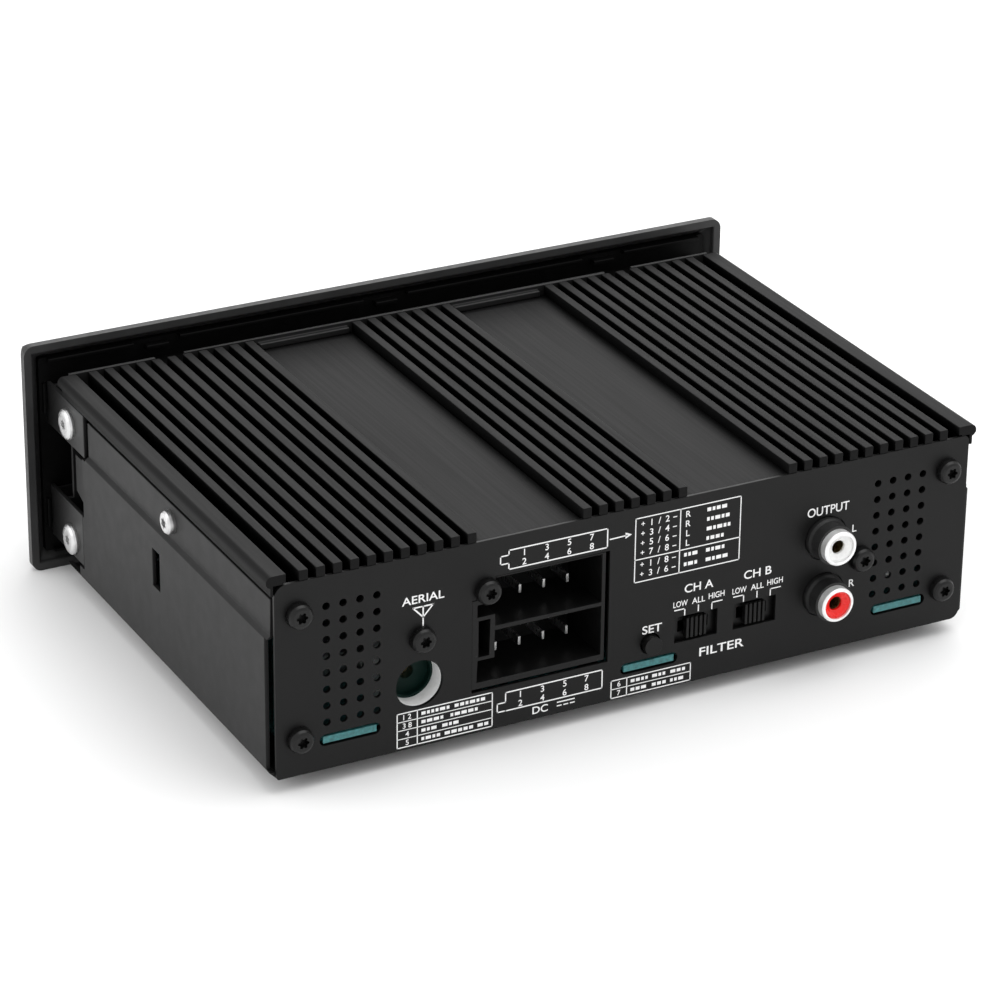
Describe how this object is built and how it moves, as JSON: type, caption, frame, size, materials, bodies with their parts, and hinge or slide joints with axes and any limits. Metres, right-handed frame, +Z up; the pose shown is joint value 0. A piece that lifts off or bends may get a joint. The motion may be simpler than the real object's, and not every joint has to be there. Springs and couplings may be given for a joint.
{
  "type": "car amplifier",
  "caption": "Single-DIN car amplifier and receiver head unit with a finned top, a socketed rear panel, a folded tray and a bezel with knob, display and keys.",
  "frame": {"origin": "middle of the whole object's footprint, at the level of the bezel's lower edge", "axes": "+Z up, +X across the width, +Y out of the rear panel; the fascia faces -Y"},
  "size_m": [0.188, 0.151, 0.0583],
  "materials": {
    "black_panel": "satin black paint",
    "tray_steel": "satin dark grey coating",
    "frame_steel": "satin dark grey coating",
    "heatsink_alloy": "satin black-grey anodising",
    "bezel_plastic": "fine-grained black",
    "fascia_plastic": "smooth black",
    "lens": "clear dark tint",
    "display": "liquid-crystal glass",
    "black_nylon": "moulded black nylon",
    "white_plastic": "moulded white",
    "red_plastic": "moulded red",
    "nickel": "nickel plate",
    "bright_screw": "bright zinc plate",
    "black_screw": "black passivated steel",
    "tin": "tin plate",
    "contact_brass": "bright",
    "green_insulator": "moulded dark green",
    "board_laminate": "solder-masked glass laminate",
    "capacitor_sleeve": "shrunk sleeve",
    "copper_wire": "enamelled copper",
    "ferrite": "ground ferrite",
    "silicone_pad": "soft grey pad",
    "shield_can": "tinned sheet",
    "cable_sleeve": "flat cable film",
    "header_nylon": "natural nylon",
    "chip_resin": "moulded resin"
  },
  "bodies": {
    "chassis": {"chassis_tray": "tray_steel", "heatsink": "heatsink_alloy", "rear_panel": "black_panel", "front_frame": "frame_steel", "bezel": "bezel_plastic", "fascia_back": "fascia_plastic", "faceplate": "fascia_plastic", "display_lens": "lens", "display_module": "display", "front_board": "board_laminate", "front_header": "header_nylon", "front_switches": "tin", "front_board_screws": "bright_screw", "encoder_housing": "tin", "flat_cable": "cable_sleeve", "board_header": "header_nylon", "main_board": "board_laminate", "iso_connector": "black_nylon", "speaker_pins": "tin", "power_pins": "tin", "rca_housing": "black_nylon", "rca_shells": "nickel", "rca_left_insert": "white_plastic", "rca_right_insert": "red_plastic", "rca_contacts": "contact_brass", "aerial_socket": "nickel", "aerial_insulator": "green_insulator", "aerial_contact": "contact_brass", "sync_switch": "black_nylon", "front_crossover_switch": "black_nylon", "rear_crossover_switch": "black_nylon", "amplifier_chip": "chip_resin", "thermal_pad": "silicone_pad", "chip_clamp": "bright_screw", "main_capacitors": "capacitor_sleeve", "small_capacitors": "capacitor_sleeve", "choke_core": "ferrite", "choke_winding": "copper_wire", "voltage_regulator": "chip_resin", "tuner_module": "shield_can", "bluetooth_module": "board_laminate", "control_chips": "chip_resin", "rear_screws": "black_screw", "side_screws": "bright_screw", "tab_screws": "bright_screw", "board_screws": "bright_screw", "clamp_screws": "bright_screw"},
    "volume_rotor": {"encoder_rotor": "black_nylon"},
    "volume_knob": {"encoder_shaft": "tin", "volume_knob": "fascia_plastic"},
    "power_button": {"power_button": "fascia_plastic"},
    "source_button": {"source_button": "fascia_plastic"},
    "menu_button": {"menu_button": "fascia_plastic"},
    "previous_button": {"previous_button": "fascia_plastic"},
    "play_button": {"play_button": "fascia_plastic"},
    "next_button": {"next_button": "fascia_plastic"},
    "back_button": {"back_button": "fascia_plastic"},
    "sync_button": {"sync_button": "black_nylon"},
    "front_crossover_knob": {"front_crossover_knob": "black_nylon"},
    "rear_crossover_knob": {"rear_crossover_knob": "black_nylon"}
  },
  "joints": [
    {"name": "volume_turn", "type": "hinge", "parent": "chassis", "child": "volume_rotor", "pos_m": [-0.06, -0.05555, 0.02915], "axis": [0, -1, 0], "continuous": true},
    {"name": "volume_press", "type": "slide", "parent": "volume_rotor", "child": "volume_knob", "axis": [0, 1, 0], "range_m": [0, 0.0006], "stiffness_N_per_m": 3000},
    {"name": "power_press", "type": "slide", "parent": "chassis", "child": "power_button", "axis": [0, 1, 0], "range_m": [0, 0.0005], "stiffness_N_per_m": 1500},
    {"name": "source_press", "type": "slide", "parent": "chassis", "child": "source_button", "axis": [0, 1, 0], "range_m": [0, 0.0005], "stiffness_N_per_m": 1500},
    {"name": "menu_press", "type": "slide", "parent": "chassis", "child": "menu_button", "axis": [0, 1, 0], "range_m": [0, 0.0005], "stiffness_N_per_m": 1500},
    {"name": "previous_press", "type": "slide", "parent": "chassis", "child": "previous_button", "axis": [0, 1, 0], "range_m": [0, 0.0005], "stiffness_N_per_m": 1500},
    {"name": "play_press", "type": "slide", "parent": "chassis", "child": "play_button", "axis": [0, 1, 0], "range_m": [0, 0.0005], "stiffness_N_per_m": 1500},
    {"name": "next_press", "type": "slide", "parent": "chassis", "child": "next_button", "axis": [0, 1, 0], "range_m": [0, 0.0005], "stiffness_N_per_m": 1500},
    {"name": "back_press", "type": "slide", "parent": "chassis", "child": "back_button", "axis": [0, 1, 0], "range_m": [0, 0.0005], "stiffness_N_per_m": 1500},
    {"name": "sync_press", "type": "slide", "parent": "chassis", "child": "sync_button", "axis": [0, -1, 0], "range_m": [0, 0.0005], "stiffness_N_per_m": 1500},
    {"name": "front_crossover_slide", "type": "slide", "parent": "chassis", "child": "front_crossover_knob", "axis": [1, 0, 0], "range_m": [-0.002, 0.002]},
    {"name": "rear_crossover_slide", "type": "slide", "parent": "chassis", "child": "rear_crossover_knob", "axis": [1, 0, 0], "range_m": [-0.002, 0.002]}
  ]
}
